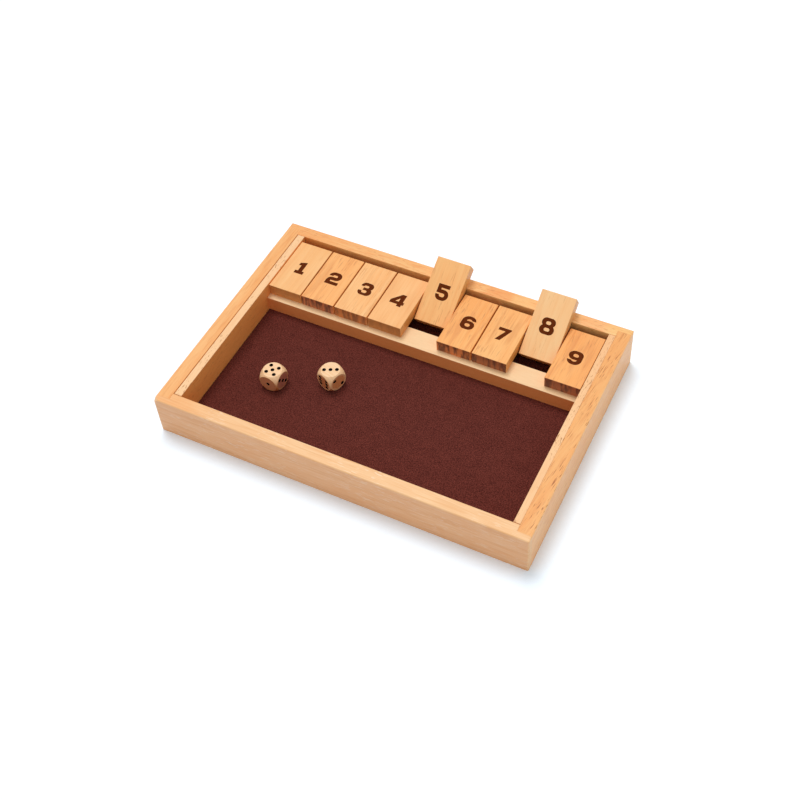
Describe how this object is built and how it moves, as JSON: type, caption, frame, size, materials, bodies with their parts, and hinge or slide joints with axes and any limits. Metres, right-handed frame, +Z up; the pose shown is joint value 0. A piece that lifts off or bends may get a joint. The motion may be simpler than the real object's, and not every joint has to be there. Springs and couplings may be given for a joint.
{
  "type": "shut the box game",
  "caption": "Wooden dice tray lined with dark felt, with a row of numbered tiles that flip on one hidden rod, and a pair of ball-cut wooden dice.",
  "frame": {"origin": "middle of the tray's outline on the table, level with the bottom edges of the rails", "axes": "+X along the row of tiles from number 1 to number 9, +Y to the back rail, +Z up"},
  "size_m": [0.2908, 0.2029, 0.0511],
  "materials": {
    "rail_wood": "satin lacquered pine, orange-tan",
    "strip_wood": "satin lacquered beech, pale tan with fine flecks",
    "tile_wood": "satin lacquered pine with burnt brown numbers",
    "plywood": "bare plywood",
    "felt": "dark reddish brown felt, finely mottled",
    "steel": "plain drawn rod",
    "dice_wood": "smooth pale wood with dark drilled pips"
  },
  "bodies": {
    "tray": {"front_rail": "rail_wood", "back_rail": "rail_wood", "left_rail": "rail_wood", "right_rail": "rail_wood", "base_panel": "plywood", "felt_mat": "felt", "left_cheek": "strip_wood", "right_cheek": "strip_wood", "tile_rest": "strip_wood", "hinge_rod": "steel"},
    "tile_one": {"tile_1": "tile_wood"},
    "tile_two": {"tile_2": "tile_wood"},
    "tile_three": {"tile_3": "tile_wood"},
    "tile_four": {"tile_4": "tile_wood"},
    "tile_five": {"tile_5": "tile_wood"},
    "tile_six": {"tile_6": "tile_wood"},
    "tile_seven": {"tile_7": "tile_wood"},
    "tile_eight": {"tile_8": "tile_wood"},
    "tile_nine": {"tile_9": "tile_wood"},
    "die_one": {"die_1": "dice_wood"},
    "die_two": {"die_2": "dice_wood"}
  },
  "joints": [
    {"name": "tile_1_flip", "type": "hinge", "parent": "tray", "child": "tile_one", "pos_m": [-0.11416, 0.0692, 0.0287], "axis": [-1, 0, 0], "range_deg": [0, 149.66]},
    {"name": "tile_2_flip", "type": "hinge", "parent": "tray", "child": "tile_two", "pos_m": [-0.08548, 0.0692, 0.0287], "axis": [-1, 0, 0], "range_deg": [0, 149.66]},
    {"name": "tile_3_flip", "type": "hinge", "parent": "tray", "child": "tile_three", "pos_m": [-0.05681, 0.0692, 0.0287], "axis": [-1, 0, 0], "range_deg": [0, 149.66]},
    {"name": "tile_4_flip", "type": "hinge", "parent": "tray", "child": "tile_four", "pos_m": [-0.02813, 0.0692, 0.0287], "axis": [-1, 0, 0], "range_deg": [0, 149.66]},
    {"name": "tile_5_flip", "type": "hinge", "parent": "tray", "child": "tile_five", "pos_m": [0.00055, 0.0692, 0.0287], "axis": [-1, 0, 0], "range_deg": [-149.66, 0]},
    {"name": "tile_6_flip", "type": "hinge", "parent": "tray", "child": "tile_six", "pos_m": [0.02923, 0.0692, 0.0287], "axis": [-1, 0, 0], "range_deg": [0, 149.66]},
    {"name": "tile_7_flip", "type": "hinge", "parent": "tray", "child": "tile_seven", "pos_m": [0.05791, 0.0692, 0.0287], "axis": [-1, 0, 0], "range_deg": [0, 149.66]},
    {"name": "tile_8_flip", "type": "hinge", "parent": "tray", "child": "tile_eight", "pos_m": [0.08658, 0.0692, 0.0287], "axis": [-1, 0, 0], "range_deg": [-149.66, 0]},
    {"name": "tile_9_flip", "type": "hinge", "parent": "tray", "child": "tile_nine", "pos_m": [0.11526, 0.0692, 0.0287], "axis": [-1, 0, 0], "range_deg": [0, 149.66]},
    {"name": "die_1_lift", "type": "slide", "parent": "tray", "child": "die_one", "axis": [0, 0, 1], "range_m": [0, 0.03]},
    {"name": "die_2_lift", "type": "slide", "parent": "tray", "child": "die_two", "axis": [0, 0, 1], "range_m": [0, 0.03]}
  ]
}
